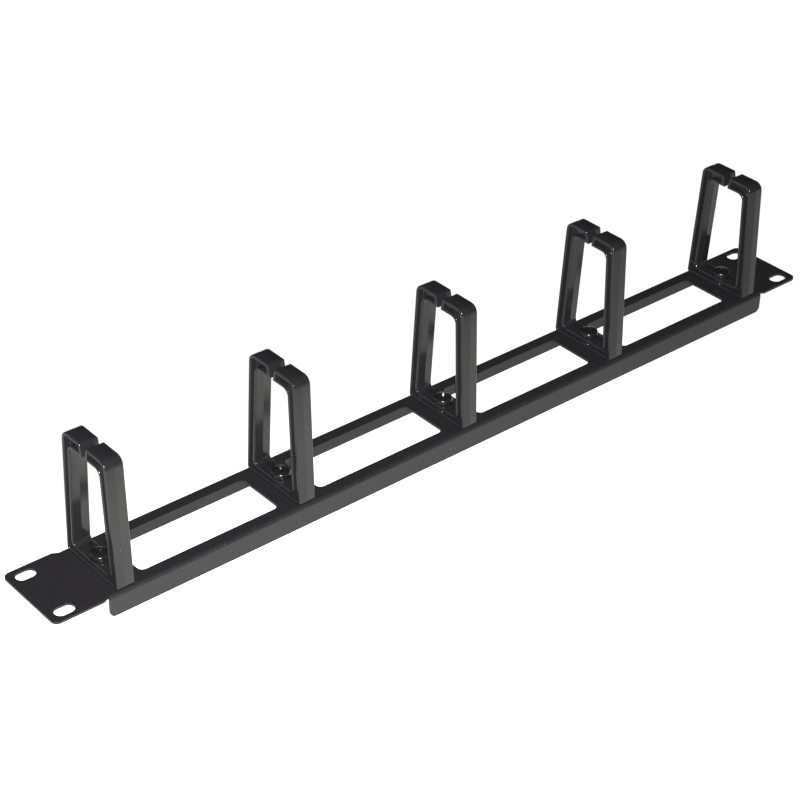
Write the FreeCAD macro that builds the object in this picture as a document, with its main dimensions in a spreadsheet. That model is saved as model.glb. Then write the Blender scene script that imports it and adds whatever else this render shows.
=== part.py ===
"""Horizontal cable manager, one rack unit high, for a 19-inch rack.

A folded steel panel carries five moulded cable rings. Each ring is held by one pan-head screw
that goes down through its foot and the panel into a washer and a nut.

Frame: X runs along the panel, Y across it, Z is up with the rings. The origin is the centre of
the rack-hole pattern on the underside of the sheet, which is the face that meets the rack rails.
Every size is in millimetres and lives in the Sizes sheet.
"""
import FreeCAD, Part
import math
import os
import Sketcher

# Sizes that are set by hand. Each one is written once and drives what depends on it.
DRIVING_SIZES = {
    # folded panel
    "panel_length": 482.6,
    "ear_width": 43.7,
    "ear_length": 28.5,
    "body_width": 43.0,
    "sheet_gauge": 1.2,
    "bend_radius": 0.8,
    "flange_depth": 11.4,
    "flange_corner_radius": 3.0,
    "ear_corner_radius": 3.5,
    "relief_length": 2.6,
    "relief_depth": 1.5,
    "relief_radius": 1.0,
    "slot_end_distance": 8.75,
    "rack_pitch_y": 31.75,
    "slot_length": 10.0,
    "slot_width": 6.6,
    "rail_width": 7.4,
    "cross_bar_width": 24.0,
    "window_corner_radius": 3.0,
    # cable rings
    "ring_count": 5,
    "ring_end_distance": 9.6,
    "foot_width": 41.0,
    "crown_width": 34.2,
    "ring_height": 67.0,
    "ring_depth": 9.5,
    "leg_wall": 5.9,
    "foot_wall": 5.2,
    "crown_wall": 6.8,
    "rim_wall": 1.7,
    "web_wall": 2.5,
    "crown_corner_radius": 4.5,
    "foot_corner_radius": 2.0,
    "opening_crown_radius": 3.2,
    "opening_foot_radius": 2.2,
    "notch_mouth": 4.6,
    "notch_throat": 1.8,
    "notch_mouth_radius": 0.8,
    "boss_diameter": 9.0,
    # fixings
    "thread_diameter": 5.0,
    "ring_hole_clearance": 0.3,
    "panel_hole_clearance": 0.5,
    "washer_clearance": 0.3,
    "thread_clearance": 0.04,
    "screw_length": 12.0,
    "head_diameter": 9.5,
    "head_height": 3.7,
    "recess_span": 4.6,
    "recess_slot_width": 1.3,
    "recess_depth": 2.1,
    "washer_diameter": 10.0,
    "washer_thickness": 1.0,
    "nut_across_flats": 8.0,
    "nut_height": 4.0,
}

# Sizes worked out from the ones above, as formulas of the sheet.
DERIVED_SIZES = {
    "panel_half_length": "panel_length / 2",
    "ear_half_width": "ear_width / 2",
    "body_length": "panel_length - 2 * ear_length",
    "body_half_length": "body_length / 2",
    "body_half_width": "body_width / 2",
    "flange_edge": "sheet_gauge - flange_depth",
    "bend_outer_radius": "bend_radius + sheet_gauge",
    "flange_inner_half": "body_half_width - sheet_gauge",
    "flat_half_width": "body_half_width - bend_outer_radius",
    "ear_root": "body_half_length + relief_length",
    "relief_floor": "ear_half_width - relief_depth",
    "rack_pitch_x": "panel_length - 2 * slot_end_distance",
    "slot_x": "rack_pitch_x / 2",
    "slot_y": "rack_pitch_y / 2",
    "slot_half_straight": "(slot_length - slot_width) / 2",
    "window_half_width": "body_half_width - rail_width",
    "ring_run": "body_length - 2 * ring_end_distance",
    "ring_pitch": "ring_run / (ring_count - 1)",
    "first_ring_x": "-1 * ring_run / 2",
    "window_near_x": "first_ring_x + cross_bar_width / 2",
    "window_far_x": "first_ring_x + ring_pitch - cross_bar_width / 2",
    "window_run": "ring_pitch * (ring_count - 2)",
    "foot_half": "foot_width / 2",
    "crown_half": "crown_width / 2",
    "half_depth": "ring_depth / 2",
    "leg_slope": "(foot_half - crown_half) / ring_height",
    "opening_top": "ring_height - crown_wall",
    "opening_foot_half": "foot_half - leg_slope * foot_wall - leg_wall",
    "opening_crown_half": "foot_half - leg_slope * opening_top - leg_wall",
    "groove_depth": "(ring_depth - web_wall) / 2",
    "groove_low": "rim_wall",
    "groove_high": "ring_height - rim_wall",
    "groove_foot_half": "foot_half - leg_slope * groove_low - rim_wall",
    "groove_crown_half": "foot_half - leg_slope * groove_high - rim_wall",
    "groove_crown_radius": "crown_corner_radius - rim_wall",
    "island_low": "foot_wall - rim_wall",
    "island_high": "opening_top + rim_wall",
    "island_foot_half": "foot_half - leg_slope * island_low - leg_wall + rim_wall",
    "island_crown_half": "foot_half - leg_slope * island_high - leg_wall + rim_wall",
    "island_crown_radius": "opening_crown_radius + rim_wall",
    "notch_throat_half": "notch_throat / 2",
    "notch_mouth_half": "notch_mouth / 2",
    "cheek_throat_half": "notch_throat_half + rim_wall",
    "cheek_mouth_half": "notch_mouth_half + rim_wall",
    "boss_radius": "boss_diameter / 2",
    "thread_radius": "thread_diameter / 2",
    "ring_hole_radius": "(thread_diameter + ring_hole_clearance) / 2",
    "panel_hole_radius": "(thread_diameter + panel_hole_clearance) / 2",
    "washer_hole_radius": "(thread_diameter + washer_clearance) / 2",
    "nut_hole_radius": "(thread_diameter + thread_clearance) / 2",
    "head_radius": "head_diameter / 2",
    "recess_half_span": "recess_span / 2",
    "recess_half_width": "recess_slot_width / 2",
    "screw_seat": "sheet_gauge + foot_wall",
    "washer_radius": "washer_diameter / 2",
    "washer_floor": "-1 * washer_thickness",
    "nut_floor": "washer_floor - nut_height",
    "nut_half_flats": "nut_across_flats / 2",
    "nut_corner": "nut_half_flats / cos(30)",
    "nut_half_corner": "nut_corner / 2",
}

doc = FreeCAD.newDocument("horizontal_cable_manager")
sheet = doc.addObject("Spreadsheet::Sheet", "Sizes")


def fill_sheet():
    """Write the driving sizes as plain numbers and the derived ones as formulas."""
    row = 1
    for name, number in DRIVING_SIZES.items():
        sheet.set("A%d" % row, name)
        sheet.set("B%d" % row, str(number))
        sheet.setAlias("B%d" % row, name)
        row += 1
    for name, formula in DERIVED_SIZES.items():
        sheet.set("A%d" % row, name)
        sheet.set("B%d" % row, "=" + formula)
        sheet.setAlias("B%d" % row, name)
        row += 1
    doc.recompute()


def size(name):
    """Value of a size; a leading minus sign gives its negative, and "0" is zero."""
    if name == "0":
        return 0.0
    sign = -1.0 if name.startswith("-") else 1.0
    return sign * float(sheet.get(name.lstrip("-")))


def formula_of(name):
    """The same size as an expression on the sheet."""
    if name.startswith("-"):
        return "-Sizes." + name[1:]
    return "Sizes." + name


# ---------------------------------------------------------------- sketch helpers

def origin_item(body, role):
    """Plane or axis of the body's own origin, by its role."""
    for item in body.Origin.OriginFeatures:
        if item.Role == role:
            return item
    raise ValueError("no origin item " + role)


def new_body(label):
    """Empty body for one piece."""
    body = doc.addObject("PartDesign::Body", label)
    body.Label = label
    return body


def new_sketch(body, name, role, lift=None):
    """Sketch on one of the body's origin planes, lifted along its normal by a size."""
    sketch = body.newObject("Sketcher::SketchObject", body.Label + "_" + name)
    sketch.AttachmentSupport = [(origin_item(body, role), "")]
    sketch.MapMode = "FlatFace"
    if lift is not None:
        sketch.setExpression("AttachmentOffset.Base.z", formula_of(lift))
    return sketch


def constrain(sketch, kind, *items):
    """Add a constraint, and bind it to the sheet where its last item names a size."""
    if isinstance(items[-1], str):
        name = items[-1]
        number = sketch.addConstraint(Sketcher.Constraint(kind, *items[:-1], size(name)))
        if name != "0":
            sketch.setExpression("Constraints[%d]" % number, formula_of(name))
    else:
        sketch.addConstraint(Sketcher.Constraint(kind, *items))


def pin_point(sketch, geometry, position, x_name, y_name):
    """Hold a point at the named distances from the sketch's origin."""
    constrain(sketch, "DistanceX", -1, 1, geometry, position, x_name)
    constrain(sketch, "DistanceY", -1, 1, geometry, position, y_name)


def add_outline(sketch, corners):
    """Closed outline through corners (x, y, radius); a radius of None leaves it sharp.

    The sides meet at the corner points, which stay in the sketch as construction points, and
    each rounded corner is an arc that is tangent to both sides.
    """
    spots = [FreeCAD.Vector(size(x), size(y), 0) for x, y, _ in corners]
    count = len(corners)
    starts, ends, arcs = [], [], []
    for index, (_, _, radius) in enumerate(corners):
        spot = spots[index]
        back = (spots[index - 1] - spot).normalize()
        ahead = (spots[(index + 1) % count] - spot).normalize()
        if radius is None:
            starts.append(spot)
            ends.append(spot)
            arcs.append(None)
            continue
        half_angle = back.getAngle(ahead) / 2
        reach = size(radius) / math.tan(half_angle)
        middle = (back + ahead).normalize() * (size(radius) / math.sin(half_angle)) + spot
        inward = middle + (spot - middle).normalize() * size(radius)
        ends.append(spot + back * reach)
        starts.append(spot + ahead * reach)
        arcs.append(Part.Arc(spot + back * reach, inward, spot + ahead * reach))
    lines = []
    for index in range(count):
        side = Part.LineSegment(starts[index], ends[(index + 1) % count])
        lines.append(sketch.addGeometry(side))
    for index, (x_name, y_name, radius) in enumerate(corners):
        before, after = lines[index - 1], lines[index]
        if radius is None:
            constrain(sketch, "Coincident", before, 2, after, 1)
            pin_point(sketch, after, 1, x_name, y_name)
            continue
        point = sketch.addGeometry(Part.Point(spots[index]), True)
        pin_point(sketch, point, 1, x_name, y_name)
        constrain(sketch, "PointOnObject", point, 1, before)
        constrain(sketch, "PointOnObject", point, 1, after)
        arc = sketch.addGeometry(arcs[index])
        arc_start = nearer_end(sketch, arc, ends[index])
        constrain(sketch, "Tangent", before, 2, arc, arc_start)
        constrain(sketch, "Tangent", after, 1, arc, 3 - arc_start)
        constrain(sketch, "Radius", arc, radius)


def nearer_end(sketch, arc, spot):
    """Which end of an arc, 1 for its start or 2 for its end, lies at a spot."""
    start_gap = sketch.getPoint(arc, 1).distanceToPoint(spot)
    end_gap = sketch.getPoint(arc, 2).distanceToPoint(spot)
    return 1 if start_gap < end_gap else 2


def add_circle(sketch, radius):
    """Circle about the sketch's origin."""
    circle = sketch.addGeometry(
        Part.Circle(FreeCAD.Vector(0, 0, 0), FreeCAD.Vector(0, 0, 1), size(radius)))
    constrain(sketch, "Coincident", circle, 3, -1, 1)
    constrain(sketch, "Radius", circle, radius)


def mirrored_corners(corners):
    """Right half of an outline, from the bottom up, completed with its mirror image."""
    left = [("-" + x, y, radius) for x, y, radius in reversed(corners)]
    return list(corners) + left


# --------------------------------------------------------------- feature helpers

def set_sizes(feature, **bindings):
    """Bind properties of a feature to sizes of the sheet."""
    for prop, name in bindings.items():
        feature.setExpression(prop, formula_of(name))


def pad(body, sketch, length, both_ways=False):
    """Add material from a sketch, one way or evenly to both sides of it."""
    feature = body.newObject("PartDesign::Pad", sketch.Name + "_pad")
    feature.Profile = sketch
    if both_ways:
        feature.SideType = "Symmetric"
    set_sizes(feature, Length=length)
    return finish_feature(feature, adds=True)


def pocket(body, sketch, depth=None, reverse=False, both_ways=False):
    """Cut a sketch out of the body, to a depth or right through."""
    feature = body.newObject("PartDesign::Pocket", sketch.Name + "_cut")
    feature.Profile = sketch
    feature.Reversed = reverse
    if depth is None:
        feature.Type = "ThroughAll"
    else:
        set_sizes(feature, Length=depth)
    if both_ways:
        feature.SideType = "Symmetric"
    return finish_feature(feature, adds=False)


def finish_feature(feature, adds):
    """Recompute, and make sure that the feature really added or removed material."""
    body = feature.getParentGeoFeatureGroup()
    before = feature.BaseFeature.Shape.Volume if feature.BaseFeature else 0.0
    doc.recompute()
    after = feature.Shape.Volume
    if (after > before) != adds or abs(after - before) < 1e-6:
        raise RuntimeError("%s changes nothing in %s" % (feature.Name, body.Label))
    return feature


def fillet(body, edges, radius, name):
    """Round the edges of the body's tip that the test picks."""
    tip = body.Tip
    picked = ["Edge%d" % (i + 1) for i, edge in enumerate(tip.Shape.Edges) if edges(edge)]
    if not picked:
        raise RuntimeError("no edge to round for " + name)
    feature = body.newObject("PartDesign::Fillet", body.Label + "_" + name)
    feature.Base = (tip, picked)
    set_sizes(feature, Radius=radius)
    doc.recompute()
    return feature


def repeat_along_x(body, feature, run, count):
    """Copy a feature evenly along X over a run; count is a formula on the sheet."""
    pattern = body.newObject("PartDesign::LinearPattern", feature.Name + "_row")
    pattern.Originals = [feature]
    pattern.Direction = (origin_item(body, "X_Axis"), [""])
    pattern.setExpression("Length", formula_of(run))
    pattern.setExpression("Occurrences", count)
    body.Tip = pattern
    doc.recompute()
    return pattern


def place(body, x_formula="0 mm", z_name=None):
    """Put a body at its place along X and at its seat height."""
    body.setExpression("Placement.Base.x", x_formula)
    if z_name is not None:
        body.setExpression("Placement.Base.z", formula_of(z_name))


def ring_x(number):
    """Formula of the place of one ring along the panel."""
    return "Sizes.first_ring_x + Sizes.ring_pitch * %d" % (number - 1)


# ------------------------------------------------------------------ folded panel

def make_panel():
    """One sheet, folded down along both long edges between its two flat ears."""
    body = new_body("rack_panel")

    section = new_sketch(body, "section", "YZ_Plane")
    add_outline(section, mirrored_corners([
        ("flange_inner_half", "0", "bend_radius"),
        ("flange_inner_half", "flange_edge", None),
        ("body_half_width", "flange_edge", None),
        ("body_half_width", "sheet_gauge", "bend_outer_radius"),
    ]))
    pad(body, section, "body_length", both_ways=True)

    ends = ((1, "body_half_length"), (-1, "body_half_length"))
    fillet(body, lambda edge: is_flange_end_corner(edge, ends), "flange_corner_radius",
           "flange_corners")

    blank = new_sketch(body, "blank", "XY_Plane")
    add_outline(blank, blank_corners())
    pad(body, blank, "sheet_gauge")

    windows = new_sketch(body, "windows", "XY_Plane")
    add_outline(windows, [
        ("window_near_x", "-window_half_width", "window_corner_radius"),
        ("window_far_x", "-window_half_width", "window_corner_radius"),
        ("window_far_x", "window_half_width", "window_corner_radius"),
        ("window_near_x", "window_half_width", "window_corner_radius"),
    ])
    first_window = pocket(body, windows, reverse=True)
    repeat_along_x(body, first_window, "window_run", "Sizes.ring_count - 1")

    slots = new_sketch(body, "rack_slots", "XY_Plane")
    for x_sign in ("", "-"):
        for y_sign in ("", "-"):
            add_slot(slots, x_sign + "slot_x", y_sign + "slot_y")
    pocket(body, slots, reverse=True)

    holes = new_sketch(body, "ring_holes", "XY_Plane")
    hole = holes.addGeometry(Part.Circle(
        FreeCAD.Vector(size("first_ring_x"), 0, 0), FreeCAD.Vector(0, 0, 1),
        size("panel_hole_radius")))
    pin_point(holes, hole, 3, "first_ring_x", "0")
    constrain(holes, "Radius", hole, "panel_hole_radius")
    first_hole = pocket(body, holes, reverse=True)
    repeat_along_x(body, first_hole, "ring_run", "Sizes.ring_count")
    return body


def is_flange_end_corner(edge, ends):
    """Short edge across the sheet, at a flange's lower corner."""
    box = edge.BoundBox
    at_edge = box.ZMax < size("flange_edge") + 1e-3
    across = abs(box.YLength - size("sheet_gauge")) < 1e-3 and box.XLength < 1e-3
    at_end = any(abs(box.XMin - side * size(name)) < 1e-3 for side, name in ends)
    return at_edge and across and at_end


def blank_corners():
    """Flat blank: two ears as wide as the rack unit, joined by the flat strip between bends.

    Beside each flange's end the ear slants in to a relief, so that the flange can fold.
    """
    half = [
        ("body_half_length", "-flat_half_width", None),
        ("body_half_length", "-relief_floor", None),
        ("ear_root", "-ear_half_width", "relief_radius"),
        ("panel_half_length", "-ear_half_width", "ear_corner_radius"),
        ("panel_half_length", "ear_half_width", "ear_corner_radius"),
        ("ear_root", "ear_half_width", "relief_radius"),
        ("body_half_length", "relief_floor", None),
        ("body_half_length", "flat_half_width", None),
    ]
    return mirrored_corners(half)


def add_slot(sketch, x_name, y_name):
    """Round-ended slot along X about a centre."""
    centre = FreeCAD.Vector(size(x_name), size(y_name), 0)
    reach = size("slot_half_straight")
    radius = size("slot_width") / 2
    along, up = FreeCAD.Vector(reach, 0, 0), FreeCAD.Vector(0, radius, 0)
    tip = FreeCAD.Vector(reach + radius, 0, 0)
    right = sketch.addGeometry(Part.Arc(centre + along - up, centre + tip, centre + along + up))
    left = sketch.addGeometry(Part.Arc(centre - along + up, centre - tip, centre - along - up))
    top = sketch.addGeometry(Part.LineSegment(centre + along + up, centre - along + up))
    low = sketch.addGeometry(Part.LineSegment(centre - along - up, centre + along - up))
    middle = sketch.addGeometry(Part.Point(centre), True)
    pin_point(sketch, middle, 1, x_name, y_name)
    constrain(sketch, "Tangent", right, 2, top, 1)
    constrain(sketch, "Tangent", top, 2, left, 1)
    constrain(sketch, "Tangent", left, 2, low, 1)
    constrain(sketch, "Tangent", low, 2, right, 1)
    constrain(sketch, "Horizontal", top)
    constrain(sketch, "Symmetric", right, 3, left, 3, middle, 1)
    number = sketch.addConstraint(Sketcher.Constraint("Radius", right, radius))
    sketch.setExpression("Constraints[%d]" % number, "Sizes.slot_width / 2")
    number = sketch.addConstraint(
        Sketcher.Constraint("DistanceX", left, 3, right, 3, 2 * reach))
    sketch.setExpression("Constraints[%d]" % number, "2 * Sizes.slot_half_straight")


# -------------------------------------------------------------------- cable ring

def make_ring(number):
    """Moulded ring: tapered frame of I section, with a screw boss and a V notch."""
    body = new_body("cable_ring_%d" % number)

    outline = new_sketch(body, "outline", "YZ_Plane")
    add_outline(outline, mirrored_corners([
        ("foot_half", "0", "foot_corner_radius"),
        ("crown_half", "ring_height", "crown_corner_radius"),
    ]))
    pad(body, outline, "ring_depth", both_ways=True)

    opening = new_sketch(body, "opening", "YZ_Plane")
    add_outline(opening, mirrored_corners([
        ("opening_foot_half", "foot_wall", "opening_foot_radius"),
        ("opening_crown_half", "opening_top", "opening_crown_radius"),
    ]))
    pocket(body, opening, both_ways=True)

    groove = new_sketch(body, "groove", "YZ_Plane", lift="half_depth")
    add_outline(groove, mirrored_corners([
        ("groove_foot_half", "groove_low", None),
        ("groove_crown_half", "groove_high", "groove_crown_radius"),
    ]))
    add_outline(groove, mirrored_corners([
        ("island_foot_half", "island_low", None),
        ("island_crown_half", "island_high", "island_crown_radius"),
    ]))
    front_groove = pocket(body, groove, "groove_depth")
    mirror_across(body, front_groove, "YZ_Plane")

    boss = new_sketch(body, "boss", "XY_Plane")
    add_circle(boss, "boss_radius")
    pad(body, boss, "foot_wall")

    cheeks = new_sketch(body, "notch_cheeks", "YZ_Plane")
    add_outline(cheeks, mirrored_corners([
        ("cheek_throat_half", "opening_top", None),
        ("cheek_mouth_half", "ring_height", None),
    ]))
    pad(body, cheeks, "ring_depth", both_ways=True)

    notch = new_sketch(body, "notch", "YZ_Plane")
    add_outline(notch, mirrored_corners([
        ("notch_throat_half", "opening_top", None),
        ("notch_mouth_half", "ring_height", None),
    ]))
    pocket(body, notch, both_ways=True)
    fillet(body, is_notch_mouth_edge, "notch_mouth_radius", "notch_mouth")

    screw_hole = new_sketch(body, "screw_hole", "XY_Plane")
    add_circle(screw_hole, "ring_hole_radius")
    pocket(body, screw_hole, "foot_wall", reverse=True)

    place(body, ring_x(number), "sheet_gauge")
    return body


def mirror_across(body, feature, role):
    """Repeat a feature on the other side of an origin plane."""
    mirrored = body.newObject("PartDesign::Mirrored", feature.Name + "_other_side")
    mirrored.Originals = [feature]
    mirrored.MirrorPlane = (origin_item(body, role), [""])
    body.Tip = mirrored
    doc.recompute()
    return mirrored


def runs_along_x(edge):
    """Straight edge through the depth of a ring."""
    box = edge.BoundBox
    return box.YLength < 1e-3 and box.ZLength < 1e-3


def is_notch_mouth_edge(edge):
    """Edge where the notch meets the crown of the ring."""
    box = edge.BoundBox
    at_mouth = abs(abs(box.YMin) - size("notch_mouth_half")) < 1e-3
    return runs_along_x(edge) and at_mouth and abs(box.ZMax - size("ring_height")) < 1e-3


# ---------------------------------------------------------------------- fixings

def make_screw(number):
    """Pan-head screw with a cross recess; its seat is the top of the ring's foot."""
    body = new_body("ring_screw_%d" % number)

    profile = new_sketch(body, "profile", "XZ_Plane")
    add_outline(profile, [(x, z, None) for x, z in (
        ("0", "-screw_length"), ("thread_radius", "-screw_length"), ("thread_radius", "0"),
        ("head_radius", "0"), ("head_radius", "head_height"), ("0", "head_height"))])
    turned = body.newObject("PartDesign::Revolution", profile.Name + "_turned")
    turned.Profile = profile
    turned.ReferenceAxis = (origin_item(body, "Z_Axis"), [""])
    turned.Angle = 360.0
    finish_feature(turned, adds=True)

    cross = new_sketch(body, "cross_recess", "XY_Plane", lift="head_height")
    add_outline(cross, [(x, y, None) for x, y in cross_corners()])
    pocket(body, cross, "recess_depth")

    place(body, ring_x(number), "screw_seat")
    return body


def cross_corners():
    """Corners of the cross recess, round from its right arm."""
    span, width = "recess_half_span", "recess_half_width"
    return [
        (span, "-" + width), (span, width), (width, width), (width, span),
        ("-" + width, span), ("-" + width, width), ("-" + span, width),
        ("-" + span, "-" + width), ("-" + width, "-" + width), ("-" + width, "-" + span),
        (width, "-" + span), (width, "-" + width),
    ]


def make_washer(number):
    """Plain washer against the underside of the panel."""
    body = new_body("ring_washer_%d" % number)
    disc = new_sketch(body, "disc", "XY_Plane")
    add_circle(disc, "washer_radius")
    add_circle(disc, "washer_hole_radius")
    pad(body, disc, "washer_thickness")
    place(body, ring_x(number), "washer_floor")
    return body


def make_nut(number):
    """Hexagon nut under the washer."""
    body = new_body("ring_nut_%d" % number)
    hexagon = new_sketch(body, "hexagon", "XY_Plane")
    add_outline(hexagon, [(x, y, None) for x, y in (
        ("nut_corner", "0"), ("nut_half_corner", "nut_half_flats"),
        ("-nut_half_corner", "nut_half_flats"), ("-nut_corner", "0"),
        ("-nut_half_corner", "-nut_half_flats"), ("nut_half_corner", "-nut_half_flats"))])
    pad(body, hexagon, "nut_height")
    bore = new_sketch(body, "bore", "XY_Plane")
    add_circle(bore, "nut_hole_radius")
    pocket(body, bore, reverse=True)
    place(body, ring_x(number), "nut_floor")
    return body


def write_parts(bodies):
    """Check every object and every piece, then write one STEP file for each piece."""
    for item in doc.Objects:
        if "Invalid" in item.State or "Error" in item.State:
            raise RuntimeError("%s has failed: %s" % (item.Name, item.State))
    for body in bodies:
        if body.Shape.isNull() or not body.Shape.isValid() or body.Shape.Volume <= 0:
            raise RuntimeError(body.Label + " has no valid solid")
    os.makedirs("parts", exist_ok=True)
    for body in bodies:
        body.Shape.exportStep("parts/%s.step" % body.Label)


fill_sheet()
pieces = [make_panel()]
for ring_number in range(1, int(size("ring_count")) + 1):
    pieces.append(make_ring(ring_number))
    pieces.append(make_screw(ring_number))
    pieces.append(make_washer(ring_number))
    pieces.append(make_nut(ring_number))
doc.recompute()
write_parts(pieces)
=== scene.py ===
"""Looks of a one-unit horizontal cable manager: a folded, powder-coated rack panel that carries
five moulded cable rings, each held by a pan-head screw with a washer and a nut.

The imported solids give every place. Sizes below are in millimetres and become metres when a mesh
is made. X runs along the panel, Y across it, Z is up, and Z = 0 is the underside of the sheet.
"""
import logging
import math
from dataclasses import dataclass, field
from enum import Enum
from typing import Callable, Sequence

import bmesh
import bpy
import numpy as np
from mathutils import Matrix, Vector


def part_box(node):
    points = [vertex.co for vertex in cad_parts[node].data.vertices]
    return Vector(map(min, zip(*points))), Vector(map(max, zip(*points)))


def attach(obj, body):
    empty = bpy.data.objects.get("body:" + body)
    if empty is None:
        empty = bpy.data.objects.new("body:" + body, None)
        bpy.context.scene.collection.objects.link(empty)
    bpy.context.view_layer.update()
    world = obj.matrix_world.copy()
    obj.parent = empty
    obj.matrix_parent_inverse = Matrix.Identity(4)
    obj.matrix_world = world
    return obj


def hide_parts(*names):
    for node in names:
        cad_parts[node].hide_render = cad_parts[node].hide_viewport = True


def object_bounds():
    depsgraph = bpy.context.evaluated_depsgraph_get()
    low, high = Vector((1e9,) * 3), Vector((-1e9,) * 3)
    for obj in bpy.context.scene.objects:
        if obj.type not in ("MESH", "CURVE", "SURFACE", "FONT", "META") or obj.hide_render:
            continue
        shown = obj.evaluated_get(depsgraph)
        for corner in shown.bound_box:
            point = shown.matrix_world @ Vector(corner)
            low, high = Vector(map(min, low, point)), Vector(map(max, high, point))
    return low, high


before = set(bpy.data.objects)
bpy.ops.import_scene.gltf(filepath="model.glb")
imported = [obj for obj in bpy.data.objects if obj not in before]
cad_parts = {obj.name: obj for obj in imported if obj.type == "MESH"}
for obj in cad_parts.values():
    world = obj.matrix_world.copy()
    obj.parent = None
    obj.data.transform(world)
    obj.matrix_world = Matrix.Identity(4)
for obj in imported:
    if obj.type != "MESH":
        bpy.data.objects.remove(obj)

MM = 0.001
LOG = logging.getLogger("cable_manager")
CAD_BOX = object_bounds()
RING_NUMBERS = range(1, 6)
SMOOTH_DEGREES = 32.0
MERGE_REACH = 2e-6
THIN_EDGE = 1e-6


class Slot(Enum):
    """Material slot names of the record; nothing in this script uses them."""

    PANEL = "panel_powder_coat"
    RING = "ring_plastic"
    SCREW = "screw_black"
    ZINC = "zinc_steel"


# --------------------------------------------------------------------------- meshes


def grid_faces(rows: int, columns: int, close_rows: bool, close_columns: bool) -> np.ndarray:
    """Quads of a grid of points numbered row by row.

    Args:
        rows: number of rows.
        columns: number of points in a row.
        close_rows: joins the last row to the first.
        close_columns: joins the end of each row to its start.

    Returns:
        One line of four point numbers for each quad.
    """
    row = np.arange(rows if close_rows else rows - 1)[:, None]
    column = np.arange(columns if close_columns else columns - 1)[None, :]
    next_row, next_column = (row + 1) % rows, (column + 1) % columns
    quads = (row * columns + column, row * columns + next_column,
             next_row * columns + next_column, next_row * columns + column)
    return np.stack(np.broadcast_arrays(*quads), axis=-1).reshape(-1, 4)


def mesh_from(name: str, points: np.ndarray, faces: Sequence[Sequence[int]]) -> bpy.types.Mesh:
    """Mesh from points in millimetres, with doubles merged and faces turned outwards.

    Args:
        name: name of the mesh.
        points: one line of x, y, z for each point.
        faces: point numbers of each face.

    Returns:
        The closed mesh, in metres.
    """
    mesh = bpy.data.meshes.new(name)
    mesh.from_pydata((points * MM).tolist(), [], [list(map(int, face)) for face in faces])
    worker = bmesh.new()
    worker.from_mesh(mesh)
    bmesh.ops.remove_doubles(worker, verts=worker.verts, dist=MERGE_REACH)
    bmesh.ops.dissolve_degenerate(worker, edges=worker.edges, dist=THIN_EDGE)
    bmesh.ops.recalc_face_normals(worker, faces=worker.faces)
    worker.to_mesh(mesh)
    worker.free()
    return mesh


def in_scene(name: str, data: bpy.types.ID) -> bpy.types.Object:
    """New object of a mesh, lamp or camera, linked to the scene.

    Args:
        name: name of the object.
        data: what it shows.

    Returns:
        The object.
    """
    made = bpy.data.objects.new(name, data)
    bpy.context.scene.collection.objects.link(made)
    return made


def piece(name: str, mesh: bpy.types.Mesh, material: bpy.types.Material,
          node: str, smooth_angle: float = SMOOTH_DEGREES) -> bpy.types.Object:
    """Object at the origin that shows a mesh in place of a solid and rides with it.

    Args:
        name: name of the piece.
        mesh: its finished mesh, in place.
        material: its finish.
        node: the solid that it stands for.
        smooth_angle: edges sharper than this, in degrees, stay sharp.

    Returns:
        The new object.
    """
    shown = in_scene(name, mesh)
    mesh.materials.clear()
    mesh.materials.append(material)
    mesh.polygons.foreach_set("use_smooth", np.ones(len(mesh.polygons), bool))
    mesh.set_sharp_from_angle(angle=math.radians(smooth_angle))
    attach(shown, "root")
    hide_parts(node)
    LOG.info("%s: %d faces", name, len(mesh.polygons))
    return shown


def moved_copy(mesh: bpy.types.Mesh, name: str, move: Matrix) -> bpy.types.Mesh:
    """Copy of a mesh with every point moved.

    Args:
        mesh: the mesh to copy.
        name: name of the copy.
        move: the movement, in metres.

    Returns:
        The copy.
    """
    copy = mesh.copy()
    copy.name = name
    copy.transform(move)
    return copy


def place_row(mesh: bpy.types.Mesh, material: bpy.types.Material, solid: str,
              shown: str, smooth_angle: float = SMOOTH_DEGREES) -> None:
    """One copy of a mesh for each ring's place, standing where the solid of that place stands.

    Args:
        mesh: the mesh about its own foot.
        material: its finish.
        solid: name of the solids, without their numbers.
        shown: name of the pieces, without their numbers.
        smooth_angle: edges sharper than this, in degrees, stay sharp.
    """
    for number in RING_NUMBERS:
        node, name = f"{solid}_{number}", f"{shown}_{number}"
        low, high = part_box(node)
        foot = Matrix.Translation(((low.x + high.x) / 2.0, 0.0, low.z))
        piece(name, moved_copy(mesh, name, foot), material, node, smooth_angle)


def around(radius: np.ndarray | float, angle: np.ndarray,
           height: np.ndarray | float) -> np.ndarray:
    """Points (r cos a, r sin a, z) about the Z axis, as one array."""
    return np.stack(np.broadcast_arrays(radius * np.cos(angle), radius * np.sin(angle), height),
                    axis=-1)


def full_turn(steps: int) -> np.ndarray:
    """Angles once round, without the last, which is the first again."""
    return np.linspace(0.0, 2.0 * np.pi, steps, endpoint=False)


def turned_surface(profile: np.ndarray, columns: int) -> tuple[np.ndarray, np.ndarray]:
    """Surface of revolution about Z: the profile's r and z, at each angle of a full turn.

    Args:
        profile: closed profile, one line of r, z for each point.
        columns: steps round the axis.

    Returns:
        Points and quads.
    """
    points = around(profile[:, :1], full_turn(columns)[None, :], profile[:, 1:])
    return points.reshape(-1, 3), grid_faces(len(profile), columns, True, True)


def quarter(steps: int) -> np.ndarray:
    """Angles from 0 to a right angle, both ends included."""
    return np.linspace(0.0, np.pi / 2.0, steps + 1)


# ------------------------------------------------------------------------ cable ring

ACROSS_WALL = (1.0, 0.0)
ALONG_DEPTH = (0.0, 1.0)


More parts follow.
